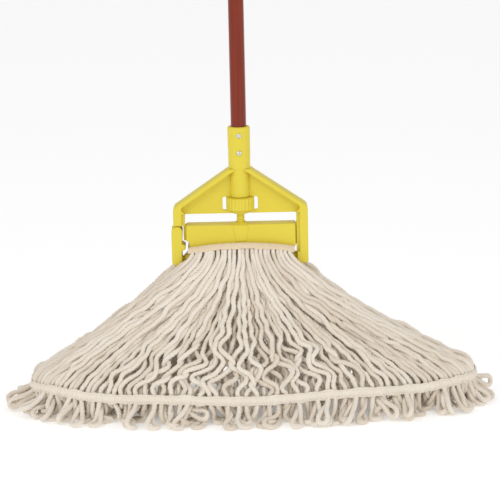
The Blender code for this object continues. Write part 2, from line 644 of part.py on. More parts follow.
def build_tail_band(name, side, cotton):
    """The sewn tape that holds the yarn tails in line, a little above the floor."""
    stations = 41
    rings = []
    limit = 0.995
    for k in range(stations):
        s = -limit + 2 * limit * k / (stations - 1)
        t_low = 1 - TAIL_BAND_LOW_Z / FAN_TOP_Z
        t_high = 1 - TAIL_BAND_HIGH_Z / FAN_TOP_Z
        low = fan_point(s, t_low, True, side)
        high = fan_point(s, t_high, True, side)
        ahead = fan_point(min(1.0, s + 0.01), t_low, True, side)
        behind = fan_point(max(-1.0, s - 0.01), t_low, True, side)
        normal = (ahead - behind).cross(high - low).normalized()
        if normal.y * side < 0:
            normal.negate()
        rings.append([low + normal * TAIL_BAND_RISE, low + normal * (TAIL_BAND_RISE + TAIL_BAND_T),
                      high + normal * (TAIL_BAND_RISE + TAIL_BAND_T), high + normal * TAIL_BAND_RISE])
    return add_object(name, loft(rings), cotton)


def build_mop_head(yarn, cotton):
    build_headband(cotton)
    build_crown(yarn)
    for side, word in ((-1, "front"), (1, "back")):
        for i in range(BUNDLES):
            low = -1 + 2 * (i + BUNDLE_GAP) / BUNDLES
            high = -1 + 2 * (i + 1 - BUNDLE_GAP) / BUNDLES
            build_bundle("yarn_%s_%d" % (word, i + 1), low, high, side, yarn)
        build_tail_band("tail_band_" + word, side, cotton)


def finish_shapes():
    """Apply the boolean steps, drop the cutters and mark the hard edges."""
    depsgraph = bpy.context.evaluated_depsgraph_get()
    shaped = [obj for obj in bpy.data.objects if obj.modifiers]
    for obj in shaped:
        mesh = bpy.data.meshes.new_from_object(obj.evaluated_get(depsgraph))
        mesh.shade_smooth()
        mesh.set_sharp_from_angle(angle=math.radians(28))
        obj.modifiers.clear()
        obj.data = mesh
    for obj in list(bpy.data.objects):
        if obj.hide_render:
            bpy.data.objects.remove(obj, do_unlink=True)


def main():
    clear_file()
    yellow = material("yellow_plastic", (0.78, 0.64, 0.09), 0.42)
    red = material("red_brown_coating", (0.24, 0.035, 0.012), 0.18)
    black = material("black_plastic", (0.02, 0.02, 0.02), 0.5)
    steel = material("zinc_steel", (0.62, 0.62, 0.60), 0.3, 1.0)
    yarn = material("cotton_yarn", (0.68, 0.61, 0.50), 0.95)
    cotton = material("cotton_tape", (0.76, 0.66, 0.50), 0.95)
    build_frame(yellow)
    build_handle(red, black)
    build_rivets(steel)
    build_wheel(yellow)
    build_screw(yellow)
    build_plate(yellow, steel)
    build_gate(yellow, steel)
    build_mop_head(yarn, cotton)
    finish_shapes()


main()
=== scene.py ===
"""The look of the side-gate wet mop: yarn, bands, materials, light and camera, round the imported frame."""
import math

import bpy
import numpy as np
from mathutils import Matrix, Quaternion, Vector


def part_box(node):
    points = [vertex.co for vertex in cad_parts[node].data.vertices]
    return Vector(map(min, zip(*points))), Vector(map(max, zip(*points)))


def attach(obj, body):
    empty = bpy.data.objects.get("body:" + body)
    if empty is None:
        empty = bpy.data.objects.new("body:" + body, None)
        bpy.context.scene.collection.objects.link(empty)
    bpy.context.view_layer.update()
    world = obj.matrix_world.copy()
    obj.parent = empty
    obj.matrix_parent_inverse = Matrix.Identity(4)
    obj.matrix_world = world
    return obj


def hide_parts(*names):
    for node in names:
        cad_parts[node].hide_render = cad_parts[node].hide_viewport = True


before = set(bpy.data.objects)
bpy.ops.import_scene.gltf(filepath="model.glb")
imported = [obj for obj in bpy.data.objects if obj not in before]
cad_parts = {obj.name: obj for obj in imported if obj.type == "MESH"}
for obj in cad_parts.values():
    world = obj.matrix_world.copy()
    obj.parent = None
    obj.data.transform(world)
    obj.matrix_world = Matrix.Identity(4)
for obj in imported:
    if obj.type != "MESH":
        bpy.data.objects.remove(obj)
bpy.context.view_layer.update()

SEED = 20
YARN_R = 0.0038              # visible radius of one yarn
YARN_R_CLAMP = 0.0031        # the same where the clamp holds it, for the yarn that shows
YARN_R_SQUEEZED = 0.0019     # and for the yarn behind it
CONTACT = 0.93               # part of the radius that resists another yarn
SPACING = 0.005              # distance between simulated points
COLUMNS = 24                 # yarns side by side in the clamp
OUTER_LAYERS = 3             # yarns deep in the clamp that end in the outer row of the tail band
LAYERS = 8                   # yarns deep in the clamp, on each side of the bar
STRANDS = COLUMNS * LAYERS   # yarns on one side of the clamp
LOOPS = STRANDS // 2
SIDE_LENGTH = 0.355          # yarn from the clamp to the tail band at the two ends
MIDDLE_LENGTH = 0.278        # the same in the middle, where part of the slack lies inside
LOOP_LEG = 0.050             # each leg of a loop below the band
WIDEST_WAVE = 0.045          # metres either way
SLACK_HALVINGS = 18          # halvings that find the size of a strand's waves
YARN_SIDES, YARN_PLIES = 12, 3
YARN_PITCH = 0.019           # length of one turn of the plies
PLY_DEPTH = 0.20             # groove between plies, as a part of the radius
LINE_STEP = 0.0023           # distance between rings of a finished yarn
CROWN_SIDES, CROWN_PLIES = 10, 4
CROWN_PITCH = 0.022
CROWN_PLY_DEPTH = 0.17
CROWN_POINTS = 64            # rings of one yarn over the bar
PIECES_A_SIDE = 6            # pieces that share the loops of one side

# settling: metres and metres a step
SETTLE_STEPS = 240
KEPT_SPEED = 0.85            # share of the last step's movement that goes on
TOP_SPEED = 0.0015
YARN_PULL, LOOP_PULL = 0.000012, 0.00005       # downward, for strands above and loops below the band
YARN_RECALL, LOOP_RECALL = 0.012, 0.010        # pull back to the drawn line
FLOOR_DRAG = 0.5


# ---- places taken from the frame ------------------------------------------------------
def spans(node):
    low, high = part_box(node)
    return np.array(low), np.array(high)


HEAD_LOW, HEAD_HIGH = spans("headband")
FAN_LOW = np.minimum(spans("yarn_front_1")[0], spans("yarn_front_3")[0])
FAN_HIGH = spans("yarn_front_6")[1]
TAIL_LOW, TAIL_HIGH = spans("tail_band_front")
BAND_Z = 0.5 * (TAIL_LOW[2] + TAIL_HIGH[2])
BAND_H = 0.0126              # height of the tail band
TOP_Z = FAN_HIGH[2] + 0.003  # where the strands leave the headband
BAR_TOP = 0.2440             # top of the bar that the yarn is laid over
WALL_LEFT = 0.386            # farthest that a loop lies from the middle
WALL_RIGHT = 0.393
WALL_DEPTH = 0.146           # and to the front and back
BAND_LEFT = 0.330            # reach of the tail band on the gate side
BAND_RIGHT = 0.360           # and on the other side


# ---- yarn: where each strand starts and where its band holds it -----------------------
def noise_1d(rng, count, wave, octaves=2):
    """Smooth seeded noise along a row, about -1..1."""
    x = np.arange(count) / wave
    total = np.zeros(count)
    for octave in range(octaves):
        phase = rng.uniform(0, 2 * math.pi, 4)
        step = 2 ** octave
        for k in range(4):
            total += np.sin(x * step * (0.7 + 0.23 * k) * 2 * math.pi + phase[k]) / (4 * step) * 1.5
    return total


def band_curve(s, side):
    """Middle of the tail band: s runs from -1 (gate side) to 1."""
    s = np.asarray(s, float)
    angle = s * math.radians(90.5)
    half_w = 0.5 * (BAND_LEFT + BAND_RIGHT) + 0.5 * (BAND_RIGHT - BAND_LEFT) * np.tanh(3 * s)
    depth = -FAN_LOW[1] - 0.024
    x = half_w * np.sin(angle)
    y = side * depth * np.sign(np.cos(angle)) * np.abs(np.cos(angle)) ** 0.9
    z = BAND_Z + 0.0022 * np.sin(5.1 * s + side) + 0.0016 * np.sin(13.0 * s + 2 * side)
    return np.stack([x, y, z + 0.004 * np.clip(s, 0, 1) ** 4], -1)


def unit(v):
    return v / np.maximum(np.linalg.norm(v, axis=-1, keepdims=True), 1e-12)


def bezier(a, b, c, d, t):
    u = 1 - t
    return a * u ** 3 + b * 3 * u * u * t + c * 3 * u * t * t + d * t ** 3


# how far in front of the bar's middle each layer leaves the clamp, from the outermost in
CLAMP_DEPTHS = HEAD_HIGH[1] - np.array([0.0058, 0.0088, 0.0113, 0.0135, 0.0155, 0.0173, 0.0191, 0.0208])
# yarns that stand off the pile: place along the band, place down the yarn, height
STRAYS = {-1: ((-0.985, 0.27, 0.010), (-0.93, 0.40, 0.009), (0.975, 0.80, 0.012), (0.90, 0.62, 0.010)),
          1: ((0.93, 0.64, 0.009), (0.97, 0.84, 0.012), (-0.95, 0.24, 0.010), (-0.90, 0.66, 0.009))}


def strand_paths(side, rng):
    """Every strand's drawn line from the clamp to the band, with its slack laid in waves."""
    k = np.arange(STRANDS)
    s = -1 + 2 * (k + 0.5) / STRANDS
    column = k // LAYERS
    orders = np.array([[0, 5, 3, 1, 7, 4, 2, 6], [1, 4, 6, 0, 3, 5, 2, 7],
                       [2, 5, 7, 1, 3, 6, 0, 4], [0, 6, 4, 2, 5, 7, 1, 3]])
    layer = orders[column % 4, k % LAYERS]
    inner = (layer >= OUTER_LAYERS).astype(float)
    half = HEAD_HIGH[0] - 0.0045
    x_top = half * (2 * (column + 0.5) / COLUMNS - 1) + rng.normal(0, 0.0009, STRANDS)
    y_top = side * CLAMP_DEPTHS[layer]
    top = np.stack([x_top, y_top, np.full(STRANDS, TOP_Z)], -1)
    foot = band_curve(s, side)
    foot[:, 2] += BAND_H / 2
    tangent = unit(band_curve(s + 0.01, side) - band_curve(s - 0.01, side))
    outward = np.stack([tangent[:, 1], -tangent[:, 0], np.zeros(STRANDS)], -1)
    outward *= np.sign((outward * foot).sum(-1, keepdims=True))
    foot = foot - outward * (0.0078 * inner + 0.0070 * (layer >= 6))[:, None]
    steps = int(round(SIDE_LENGTH / SPACING))
    t = np.linspace(0, 1, steps + 1)[None, :, None]
    up = np.array([0, 0, 1.0])
    leave = (0.062 + 0.006 * noise_1d(rng, STRANDS, 9.0))[:, None]
    arrive = (0.032 - 0.010 * s ** 2 + 0.008 * noise_1d(rng, STRANDS, 9.0))[:, None]
    leave = leave * (1 + 0.70 * np.clip(s, 0, 1) ** 2)[:, None]
    tuck = (0.004 + 0.036 * s ** 2)[:, None]
    spread = np.where(layer <= 1, 0.42, 0.0) * (x_top / half) ** 3
    first = top - up * leave * np.where(layer <= 1, 0.85, 1.0)[:, None]
    first[:, 0] += (leave[:, 0] * spread)
    line = bezier(top[:, None], first[:, None],
                  (foot + up * arrive - outward * tuck)[:, None], foot[:, None], t)
    line = line - outward[:, None, :] * (0.0028 * layer)[:, None, None] * np.sin(math.pi * t) ** 0.7
    span = np.linalg.norm(np.diff(line, axis=1), axis=-1).cumsum(1)
    run = np.concatenate([np.zeros((STRANDS, 1)), span], 1)
    part = run / run[:, -1:]
    turns = 4.2 + 0.8 * noise_1d(rng, STRANDS, 30.0)
    phase = (2.6 * noise_1d(rng, STRANDS, 30.0) + 0.35 * noise_1d(rng, STRANDS, 7.0) + 2.6 * inner
             + rng.uniform(-1.2, 1.2, STRANDS) * inner)
    across = np.sin(2 * math.pi * turns[:, None] * part + phase[:, None])
    inout = np.sin(2 * math.pi * turns[:, None] * 0.9 * part + 1.9 * phase[:, None] + 1.1)
    start = (0.54 + 0.07 * noise_1d(rng, STRANDS, 8.0))[:, None]
    envelope = np.clip((part - start) / 0.24, 0, 1) ** 1.2 * np.clip((1 - part) / 0.10, 0, 1) ** 0.8
    depthwise = outward[:, None, :] * (0.14 + 0.25 * inner)[:, None, None] + up * 0.25
    bump = across[..., None] * tangent[:, None, :] + inout[..., None] * depthwise
    bump = bump * envelope[..., None]
    fine_phase = rng.uniform(0, 2 * math.pi, (STRANDS, 3))
    fine_wave = 2 * math.pi * run / rng.uniform(0.020, 0.038, STRANDS)[:, None]
    ease = np.clip(part / 0.12, 0, 1) * np.clip((1 - part) / 0.08, 0, 1) * (0.0022 + 0.0010 * part)
    fine = (np.sin(fine_wave + fine_phase[:, :1])[..., None] * tangent[:, None, :]
            + np.sin(fine_wave * 0.8 + fine_phase[:, 1:2])[..., None] * outward[:, None, :] * 0.8)
    line = line + fine * ease[..., None]
    want = MIDDLE_LENGTH + (SIDE_LENGTH - MIDDLE_LENGTH) * np.abs(s) ** 1.3
    want = want * (1 + 0.010 * rng.normal(0, 1, STRANDS)) - 0.016 * inner * (1 - np.abs(s))
    low, high = np.zeros(STRANDS), np.full(STRANDS, WIDEST_WAVE)
    for _ in range(SLACK_HALVINGS):
        mid = 0.5 * (low + high)
        trial = line + bump * mid[:, None, None]
        length = np.linalg.norm(np.diff(trial, axis=1), axis=-1).sum(1)
        low = np.where(length < want, mid, low)
        high = np.where(length < want, high, mid)
    line = line + bump * mid[:, None, None]
    for where, at, height in STRAYS[side]:
        stray = int(round((where + 1) / 2 * (STRANDS - 1)))
        rise = height * np.exp(-((part[stray] - at) / 0.055) ** 2)
        line[stray] += (up * 0.75 + outward[stray] * 0.65) * rise[:, None]
    return line, layer, outward


def resample(line, count):
    """The same line with count points at equal steps."""
    step = np.linalg.norm(np.diff(line, axis=0), axis=-1)
    at = np.concatenate([[0], np.cumsum(step)])
    target = np.linspace(0, at[-1], count)
    return np.stack([np.interp(target, at, line[:, a]) for a in range(3)], -1)


def loop_path(a, b, outward, lean, reach, twist, wrap, eye, curl):
    """The looped end between two strands, below the band: its legs wrap once round each other."""
    along = unit(b - a)
    down = unit(np.array([0, 0, -1.0]) + outward * reach + along * lean)
    first = unit(np.cross(down, outward))
    second = np.cross(down, first)
    count = 14
    start = 0.5 * np.linalg.norm(b - a)
    legs = ([], [])
    for i in range(count + 1):
        t = i / count
        angle = twist + wrap * t
        turn = first * math.cos(angle) + second * math.sin(angle)
        flat = along * (1 - t) ** 2 + turn * (1 - (1 - t) ** 2)
        width = start * (1 - t) ** 2 + (1 - (1 - t) ** 2) * (0.0032 + eye * t ** 2)
        middle = (0.5 * (a + b) + down * (LOOP_LEG * t) - outward * 0.003 * math.sin(math.pi * t)
                  + along * curl * math.sin(math.pi * t) ** 2)
        legs[0].append(middle - flat * width)
        legs[1].append(middle + flat * width)
    legs[0][0], legs[1][0] = a, b
    tip = 0.5 * (legs[0][-1] + legs[1][-1])
    arm = legs[0][-1] - tip
    bend = [tip + arm * math.cos(math.pi * i / 5) + down * 0.0062 * math.sin(math.pi * i / 5)
            for i in range(1, 5)]
    return np.array(legs[0] + bend + legs[1][::-1])


def build_side(side, rng):
    """Points of every loop on one side: down one strand, round its end and up the next."""
    lines, layer, outward = strand_paths(side, rng)
    upper = int(round(SIDE_LENGTH / SPACING)) + 1
    lean = noise_1d(rng, LOOPS, 7.0) * 1.8 + rng.normal(0, 0.65, LOOPS)
    lean[0], lean[1], lean[-1] = -2.4, -1.5, 1.2
    reach = 0.38 + 0.35 * noise_1d(rng, LOOPS, 4.0) + rng.normal(0, 0.18, LOOPS)
    twist = rng.uniform(-1.5, 1.5, LOOPS)
    wrap = rng.uniform(0.4, 3.8, LOOPS)
    eye = rng.uniform(0.0015, 0.0055, LOOPS)
    curl = rng.normal(0, 0.009, LOOPS)
    rows = []
    band_count = 4
    end_count = 23
    for m in range(LOOPS):
        one, two = 2 * m, 2 * m + 1
        band_points = []
        for k in (one, two):
            high = lines[k][-1]
            band_points.append(np.linspace(high, high - np.array([0, 0, BAND_H]), band_count))
        end = loop_path(band_points[0][-1], band_points[1][-1], outward[one], lean[m], reach[m], twist[m],
                        wrap[m], eye[m], curl[m])
        parts = [resample(lines[one], upper)[:-1], band_points[0][:-1], resample(end, end_count),
                 band_points[1][::-1][1:], resample(lines[two], upper)[::-1][1:]]
        rows.append(np.concatenate(parts))
    rows = np.array(rows)
    total = rows.shape[1]
    pinned = np.zeros(total, bool)
    pinned[:3] = pinned[-3:] = True
    start = upper - 1
    pinned[start:start + band_count] = True
    pinned[total - start - band_count:total - start] = True
    hangs = np.zeros(total, bool)
    hangs[start + band_count:total - start - band_count] = True
    held = np.where(layer == 0, YARN_R_CLAMP, YARN_R_SQUEEZED)
    away = np.arange(total) * SPACING
    grow_one = np.clip(away / 0.05, 0, 1)
    grow_two = grow_one[::-1]
    radius = np.where(np.arange(total)[None, :] < total // 2,
                      held[0::2, None] + (YARN_R - held[0::2, None]) * grow_one[None, :],
                      held[1::2, None] + (YARN_R - held[1::2, None]) * grow_two[None, :])
    return rows, pinned, hangs, radius


# ---- yarn: settle the strands against each other, the floor and the walls ----------------
CELLS = [(i, j, k) for i in (-1, 0, 1) for j in (-1, 0, 1) for k in (-1, 0, 1)
         if (i, j, k) > (0, 0, 0)] + [(0, 0, 0)]


def near_pairs(points, reach, owner, order):
    """Pairs of points closer than reach, without those next to each other on one strand."""
    low = points.min(0) - reach
    cell = np.floor((points - low) / reach).astype(np.int64)
    size = cell.max(0) + 3
    key = (cell[:, 0] * size[1] + cell[:, 1]) * size[2] + cell[:, 2]
    rank = np.argsort(key, kind="stable")
    ordered = key[rank]
    found = []
    for i, j, k in CELLS:
        shift = (i * size[1] + j) * size[2] + k
        first = np.searchsorted(ordered, ordered + shift, "left")
        last = np.searchsorted(ordered, ordered + shift, "right")
        if shift == 0:
            first = np.maximum(first, np.arange(len(ordered)) + 1)
        count = np.maximum(last - first, 0)
        a = np.repeat(np.arange(len(ordered)), count)
        offset = np.arange(len(a)) - np.repeat(np.cumsum(count) - count, count)
        b = first[a] + offset
        found.append(np.stack([rank[a], rank[b]], 1))
    pairs = np.concatenate(found)
    a, b = pairs[:, 0], pairs[:, 1]
    apart = points[a] - points[b]
    close = (apart * apart).sum(1) < reach * reach
    beside = (owner[a] == owner[b]) & (np.abs(order[a] - order[b]) <= 2)
    return pairs[close & ~beside]


def push_apart(points, pairs, radius, weight, share):
    a, b = pairs[:, 0], pairs[:, 1]
    gap = points[a] - points[b]
    length = np.sqrt((gap * gap).sum(1)) + 1e-9
    distance = radius[a] + radius[b]
    hit = length < distance
    a, b, gap, length, distance = a[hit], b[hit], gap[hit], length[hit], distance[hit]
    total = weight[a] + weight[b] + 1e-9
    move = gap * (share * (distance - length) / length / total)[:, None]
    count = len(points)
    for axis in range(3):
        points[:, axis] += np.bincount(a, move[:, axis] * weight[a], count)
        points[:, axis] -= np.bincount(b, move[:, axis] * weight[b], count)


def settle(rows, pinned, hangs, radius, steps):
    """Position-based strands: fixed length, some stiffness, contact, floor, walls and a little memory."""
    loops, count = rows.shape[:2]
    rest = np.linalg.norm(np.diff(rows, axis=1), axis=-1)
    memory = rows.copy()
    position = rows.reshape(-1, 3).copy()
    weight = np.ones((loops, count))
    weight[:, pinned] = 0.0
    flat_weight = weight.reshape(-1)
    owner = np.repeat(np.arange(loops), count)
    order = np.tile(np.arange(count), loops)
    before = position.copy()
    pull = np.where(hangs, LOOP_PULL, YARN_PULL)
    gravity = np.zeros((loops, count, 3))
    gravity[..., 2] = -pull
    gravity = gravity.reshape(-1, 3)
    recall = np.where(hangs, LOOP_RECALL, YARN_RECALL)[None, :, None]
    solid = radius.reshape(-1) * CONTACT
    reach = 2 * solid.max() * 1.35
    for step in range(steps):
        velocity = (position - before) * KEPT_SPEED
        size = np.linalg.norm(velocity, axis=1, keepdims=True)
        velocity *= np.minimum(1, TOP_SPEED / np.maximum(size, 1e-9))
        before = position.copy()
        position += (velocity + gravity) * flat_weight[:, None]
        if step % 4 == 0:
            pairs = near_pairs(position, reach, owner, order)
        grid = position.reshape(loops, count, 3)
        grid += (memory - grid) * recall * weight[..., None]
        for _ in range(2):
            for gap, stiff in ((1, 1.0), (2, 0.35), (4, 0.20)):
                for phase in range(gap + 1):
                    i = np.arange(phase, count - gap, gap + 1)
                    j = i + gap
                    apart = grid[:, i] - grid[:, j]
                    length = np.linalg.norm(apart, axis=-1) + 1e-9
                    want = rest[:, i] * gap
                    least = want if gap == 1 else want * (0.94 if gap == 2 else 0.80)
                    want = np.where(length < least, least, length) if gap > 1 else want
                    total = weight[:, i] + weight[:, j] + 1e-9
                    move = apart * (stiff * (want - length) / length / total)[..., None]
                    grid[:, i] += move * weight[:, i][..., None]
                    grid[:, j] -= move * weight[:, j][..., None]
            push_apart(position, pairs, solid, flat_weight, 0.8)
            np.clip(position[:, 0], -WALL_LEFT, WALL_RIGHT, out=position[:, 0])
            np.clip(position[:, 1], -WALL_DEPTH, WALL_DEPTH, out=position[:, 1])
            under = position[:, 2] < YARN_R
            position[under, 2] = YARN_R
            drag = under[:, None] * FLOOR_DRAG
            position[:, :2] = position[:, :2] * (1 - drag) + before[:, :2] * drag
    return position.reshape(loops, count, 3)


def smooth_line(line, count, ease=3):
    """Rounder version of a simulated line with more points."""
    for _ in range(ease):
        middle = 0.25 * line[:-2] + 0.5 * line[1:-1] + 0.25 * line[2:]
        line = np.concatenate([line[:1], middle, line[-1:]])
    n = len(line)
    padded = np.concatenate([2 * line[:1] - line[1:2], line, 2 * line[-1:] - line[-2:-1]])
    u = np.linspace(0, n - 1, count)
    i = np.minimum(u.astype(int), n - 2)
    f = (u - i)[:, None]
    p0, p1, p2, p3 = padded[i], padded[i + 1], padded[i + 2], padded[i + 3]
    return 0.5 * (2 * p1 + (p2 - p0) * f + (2 * p0 - 5 * p1 + 4 * p2 - p3) * f ** 2
                  + (3 * p1 - p0 - 3 * p2 + p3) * f ** 3)


def yarn_tube(line, radius, sides, plies, pitch, phase, depth):
    """Points and faces of a plied yarn along a line."""
    ahead = unit(np.gradient(line, axis=0))
    normals = np.zeros_like(line)
    first = np.cross(ahead[0], [0.3, 0.5, 0.8])
    normals[0] = first / np.linalg.norm(first)
    for i in range(1, len(line)):
        n = normals[i - 1] - ahead[i] * np.dot(normals[i - 1], ahead[i])
        normals[i] = n / max(np.linalg.norm(n), 1e-9)
    across = np.cross(ahead, normals)
    run = np.concatenate([[0], np.cumsum(np.linalg.norm(np.diff(line, axis=0), axis=-1))])
    angle = 2 * math.pi * np.arange(sides) / sides
    twist = 2 * math.pi * run / pitch + phase
    lobe = np.abs(np.cos(0.5 * plies * (angle[None, :] - twist[:, None])))
    size = radius[:, None] * (1 - depth + depth * 1.35 * lobe)
    ring = (normals[:, None, :] * np.cos(angle)[None, :, None]
            + across[:, None, :] * np.sin(angle)[None, :, None])
    points = line[:, None, :] + ring * size[..., None]
    rows = len(line)
    base = (np.arange(rows - 1)[:, None] * sides + np.arange(sides)[None, :])
    nxt = (np.arange(rows - 1)[:, None] * sides + (np.arange(sides)[None, :] + 1) % sides)
    quads = np.stack([base, nxt, nxt + sides, base + sides], -1).reshape(-1, 4)
    return points.reshape(-1, 3), quads


def bake_map(mesh, rows, sides, tubes, bands=2):
    """A map for baking: every tube is cut into bands, each a row of its own from edge to edge."""
    step = np.arange(rows - 1)
    per_band = math.ceil((rows - 1) / bands)
    band, along = step // per_band, step % per_band
    u0, u1 = (0.002 + 0.996 * along / per_band), (0.002 + 0.996 * (along + 1) / per_band)
    v0 = 0.04 + 0.92 * np.arange(sides) / sides
    v1 = 0.04 + 0.92 * (np.arange(sides) + 1) / sides
    total = tubes * bands
    corners = []
    for tube in range(tubes):
        row = tube * bands + band
        low = (row[:, None] + v0[None, :]) / total
        high = (row[:, None] + v1[None, :]) / total
        left = np.broadcast_to(u0[:, None], low.shape)
        right = np.broadcast_to(u1[:, None], low.shape)
        corners.append(np.stack([left, low, left, high, right, high, right, low], -1).reshape(-1))
    layer = mesh.uv_layers.new(name="OFBake")
    layer.data.foreach_set("uv", np.concatenate(corners).astype(np.float32))


def mesh_object(name, points, quads, material, values=None):
    mesh = bpy.data.meshes.new(name)
    mesh.vertices.add(len(points))
    mesh.vertices.foreach_set("co", points.astype(np.float32).ravel())
    mesh.loops.add(quads.size)
    mesh.loops.foreach_set("vertex_index", quads.astype(np.int32).ravel())
    mesh.polygons.add(len(quads))
    mesh.polygons.foreach_set("loop_start", np.arange(0, quads.size, 4, dtype=np.int32))
    mesh.polygons.foreach_set("use_smooth", np.ones(len(quads), bool))
    mesh.update(calc_edges=True)
    if values is not None:
        for key, data in values.items():
            layer = mesh.attributes.new(key, "FLOAT", "POINT")
            layer.data.foreach_set("value", data.astype(np.float32))
    mesh.materials.append(material)
    obj = bpy.data.objects.new(name, mesh)
    bpy.context.scene.collection.objects.link(obj)
    return obj


def merged(parts):
    """One mesh from several (points, quads, values) parts."""
    points, quads, values, start = [], [], {}, 0
    for p, q, v in parts:
        points.append(p)
        quads.append(q + start)
        start += len(p)
        for key, data in v.items():
            values.setdefault(key, []).append(data)
    return (np.concatenate(points), np.concatenate(quads),
            {key: np.concatenate(data) for key, data in values.items()})


# ---- materials --------------------------------------------------------------------------
def new_material(name):
    made = bpy.data.materials.new(name)
    made.use_nodes = True
    tree = made.node_tree
    return made, tree, tree.nodes["Principled BSDF"]


def node(tree, kind, **inputs):
    made = tree.nodes.new(kind)
    for key, value in inputs.items():
        made.inputs[key.replace("_", " ")].default_value = value
    return made


def noise(tree, vector, scale, detail=3.0, roughness=0.55):
    made = node(tree, "ShaderNodeTexNoise", Scale=scale, Detail=detail, Roughness=roughness)
    tree.links.new(vector, made.inputs["Vector"])
    return made


def ramp(tree, value, stops):
    made = tree.nodes.new("ShaderNodeValToRGB")
    elements = made.color_ramp.elements
    while len(elements) < len(stops):
        elements.new(0.5)
    for element, (place, colour) in zip(elements, stops):
        element.position = place
        element.color = (*colour, 1)
    tree.links.new(value, made.inputs["Fac"])
    return made


def multiply(tree, factor, a, b):
    """Colour a darkened by colour b."""
    made = tree.nodes.new("ShaderNodeMix")
    made.data_type = "RGBA"
    made.blend_type = "MULTIPLY"
    made.inputs[0].default_value = factor
    tree.links.new(a, made.inputs[6])
    tree.links.new(b, made.inputs[7])
    return made.outputs[2]


def bump(tree, height, strength, distance, shader):
    made = node(tree, "ShaderNodeBump", Strength=strength, Distance=distance)
    tree.links.new(height, made.inputs["Height"])
    tree.links.new(made.outputs["Normal"], shader.inputs["Normal"])


def place(tree):
    return tree.nodes.new("ShaderNodeTexCoord").outputs["Object"]


def cotton(name, light, dark, scale=1.0, by_strand=False):
    made, tree, shader = new_material(name)
    here = place(tree)
    broad = noise(tree, here, 18 * scale, 3)
    fine = noise(tree, here, 900 * scale, 4, 0.7)
    tone = ramp(tree, broad.outputs["Fac"], [(0.3, dark), (0.7, light)])
    speck = ramp(tree, fine.outputs["Fac"], [(0.25, (0.80, 0.76, 0.70)), (0.65, (1, 1, 1))])
    colour = multiply(tree, 0.5, tone.outputs["Color"], speck.outputs["Color"])
    if by_strand:
        strand = tree.nodes.new("ShaderNodeAttribute")
        strand.attribute_name = "tone"
        shade = ramp(tree, strand.outputs["Fac"], [(0.0, (0.90, 0.87, 0.84)), (0.6, (1, 1, 1))])
        colour = multiply(tree, 1.0, colour, shade.outputs["Color"])
    tree.links.new(colour, shader.inputs["Base Color"])
    shader.inputs["Roughness"].default_value = 0.95
    shader.inputs["Sheen Weight"].default_value = 0.25
    shader.inputs["Sheen Roughness"].default_value = 0.6
    shader.inputs["Specular IOR Level"].default_value = 0.15
    bump(tree, fine.outputs["Fac"], 0.5, 0.0006, shader)
    return made


def plastic(name, light, dark, rough=0.42):
    made, tree, shader = new_material(name)
    here = place(tree)
    broad = noise(tree, here, 9, 3)
    grain = noise(tree, here, 1600, 2, 0.5)
    scuff = noise(tree, here, 55, 6, 0.7)
    tone = ramp(tree, broad.outputs["Fac"], [(0.3, dark), (0.7, light)])
    tree.links.new(tone.outputs["Color"], shader.inputs["Base Color"])
    worn = ramp(tree, scuff.outputs["Fac"], [(0.35, (rough - 0.05,) * 3), (0.7, (rough + 0.14,) * 3)])
    tree.links.new(worn.outputs["Color"], shader.inputs["Roughness"])
    shader.inputs["Specular IOR Level"].default_value = 0.4
    bump(tree, grain.outputs["Fac"], 0.12, 0.0002, shader)
    return made


def coated(name):
    made, tree, shader = new_material(name)
    here = place(tree)
    stretch = tree.nodes.new("ShaderNodeMapping")
    stretch.inputs["Scale"].default_value = (1, 1, 0.03)
    tree.links.new(here, stretch.inputs["Vector"])
    streak = noise(tree, stretch.outputs["Vector"], 260, 5, 0.65)
    tone = ramp(tree, streak.outputs["Fac"], [(0.3, (0.160, 0.013, 0.002)), (0.52, (0.210, 0.021, 0.004)),
                                              (0.75, (0.245, 0.030, 0.007))])
    tree.links.new(tone.outputs["Color"], shader.inputs["Base Color"])
    shader.inputs["Roughness"].default_value = 0.24
    shader.inputs["Specular IOR Level"].default_value = 0.28
    shader.inputs["Coat Weight"].default_value = 0.12
    shader.inputs["Coat Roughness"].default_value = 0.10
    bump(tree, streak.outputs["Fac"], 0.08, 0.0002, shader)
    return made


def metal(name):
    made, tree, shader = new_material(name)
    here = place(tree)
    fine = noise(tree, here, 700, 4)
    tone = ramp(tree, fine.outputs["Fac"], [(0.3, (0.50, 0.50, 0.49)), (0.7, (0.74, 0.73, 0.71))])
    tree.links.new(tone.outputs["Color"], shader.inputs["Base Color"])
    shader.inputs["Metallic"].default_value = 1.0
    worn = ramp(tree, fine.outputs["Fac"], [(0.3, (0.24,) * 3), (0.7, (0.42,) * 3)])
    tree.links.new(worn.outputs["Color"], shader.inputs["Roughness"])
    return made


YELLOW = plastic("yellow_moulded", (0.760, 0.625, 0.052), (0.722, 0.587, 0.044))
BLACK = plastic("black_moulded", (0.030, 0.030, 0.032), (0.018, 0.018, 0.019), 0.5)
RED = coated("red_brown_coat")
STEEL = metal("zinc_plate")
YARN = cotton("cotton_yarn_look", (0.88, 0.81, 0.72), (0.83, 0.75, 0.64), by_strand=True)
HEAD_TAPE = cotton("headband_tape_look", (0.86, 0.71, 0.51), (0.80, 0.64, 0.44))
THREAD = cotton("sewing_thread", (0.84, 0.78, 0.68), (0.78, 0.71, 0.60), 2.0)
TAPE = cotton("cotton_tape_look", (0.88, 0.81, 0.71), (0.83, 0.75, 0.64))

FINISHES = {"frame": YELLOW, "thumb_wheel": YELLOW, "clamp_plate": YELLOW, "clamp_screw": YELLOW,
            "side_gate": YELLOW, "handle_tube": RED, "handle_plug": BLACK, "handle_end_cap": BLACK,
            "rivet_upper": STEEL, "rivet_lower": STEEL, "gate_pin": STEEL, "screw_pin": STEEL}
for name, finish in FINISHES.items():
    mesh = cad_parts[name].data
    mesh.materials.clear()
    mesh.materials.append(finish)


